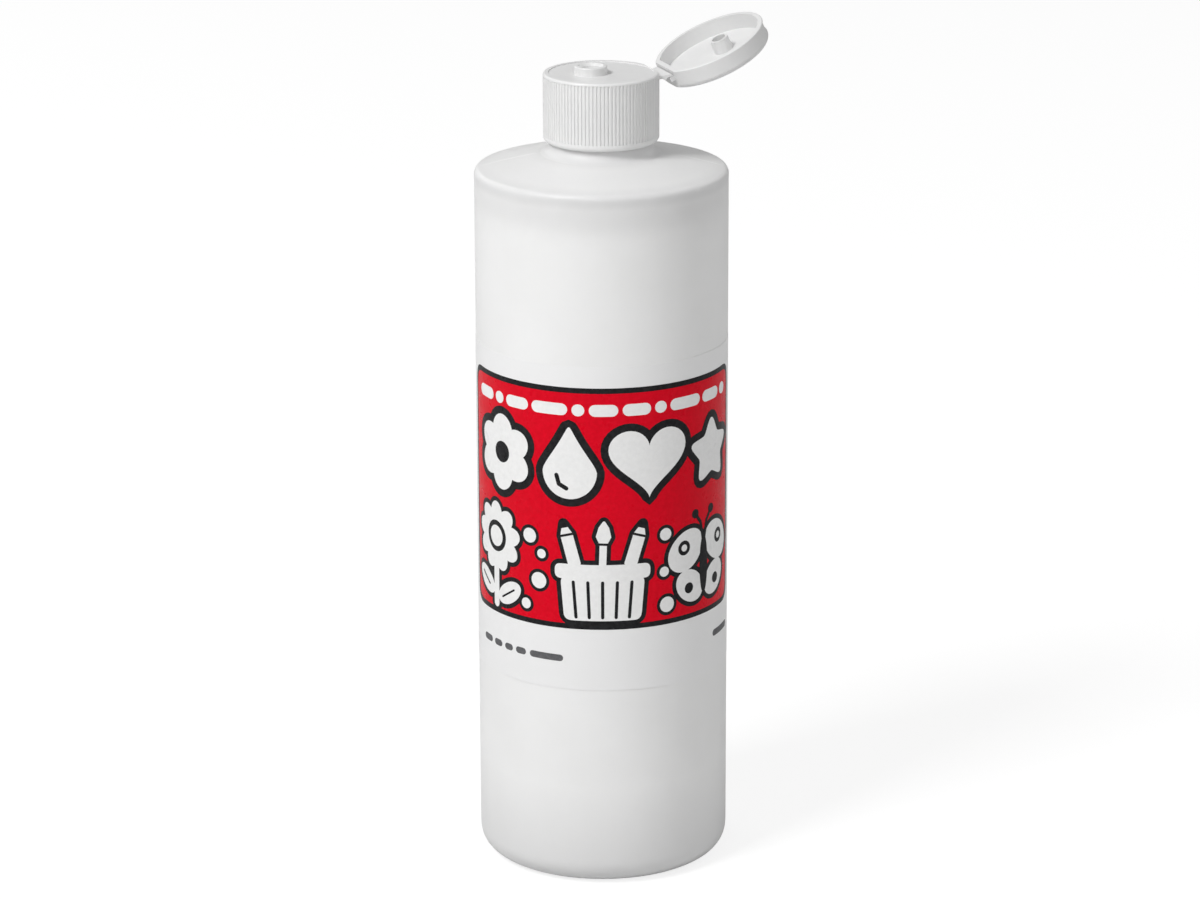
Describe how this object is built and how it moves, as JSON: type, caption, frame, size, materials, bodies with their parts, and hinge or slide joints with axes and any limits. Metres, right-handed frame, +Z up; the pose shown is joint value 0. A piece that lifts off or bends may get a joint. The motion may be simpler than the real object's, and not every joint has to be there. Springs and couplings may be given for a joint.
{
  "type": "glue applicator bottle",
  "caption": "Straight white squeeze bottle of craft glue with a film label, a ribbed screw cap with a short open spout, and a round flip lid on a hinge strap, standing open.",
  "frame": {"origin": "centre of the face the bottle stands on", "axes": "+Z up along the bottle's axis, -Y towards the front of the label, the lid opens towards +X and a little to +Y"},
  "size_m": [0.0724, 0.0626, 0.2122],
  "materials": {
    "bottle_plastic": "satin",
    "label_film": "satin",
    "glue_fill": "gloss",
    "liner_foam": "matte",
    "cap_plastic": "satin",
    "ink_red": "satin",
    "ink_black": "satin",
    "ink_white": "satin"
  },
  "bodies": {
    "bottle": {"bottle": "bottle_plastic", "wrap_label": "label_film", "glue": "glue_fill"},
    "liner": {"cap_liner": "liner_foam"},
    "cap": {"cap_base": "cap_plastic"},
    "strap": {"hinge_strap": "cap_plastic"},
    "lid": {"flip_lid": "cap_plastic"}
  },
  "joints": [
    {"name": "cap_lift", "type": "slide", "parent": "bottle", "child": "liner", "axis": [0, 0, 1], "range_m": [0, 0.01746]},
    {"name": "cap_turn", "type": "hinge", "parent": "liner", "child": "cap", "pos_m": [0, 0, 0.19828], "axis": [0, 0, 1], "range_deg": [0, 1980]},
    {"name": "strap_fold", "type": "hinge", "parent": "cap", "child": "strap", "pos_m": [0.01256, 0.00482, 0.19892], "axis": [-0.3584, 0.9336, 0], "range_deg": [-77.5, 12.5]},
    {"name": "lid_fold", "type": "hinge", "parent": "strap", "child": "lid", "pos_m": [0.01547, 0.00594, 0.19962], "axis": [-0.3584, 0.9336, 0], "range_deg": [-77.5, 12.5]}
  ],
  "couplings": [
    {"joint": "cap_lift", "follows": "cap_turn", "m_per_rad": 0.00050532},
    {"joint": "lid_fold", "follows": "strap_fold", "ratio": 1}
  ]
}
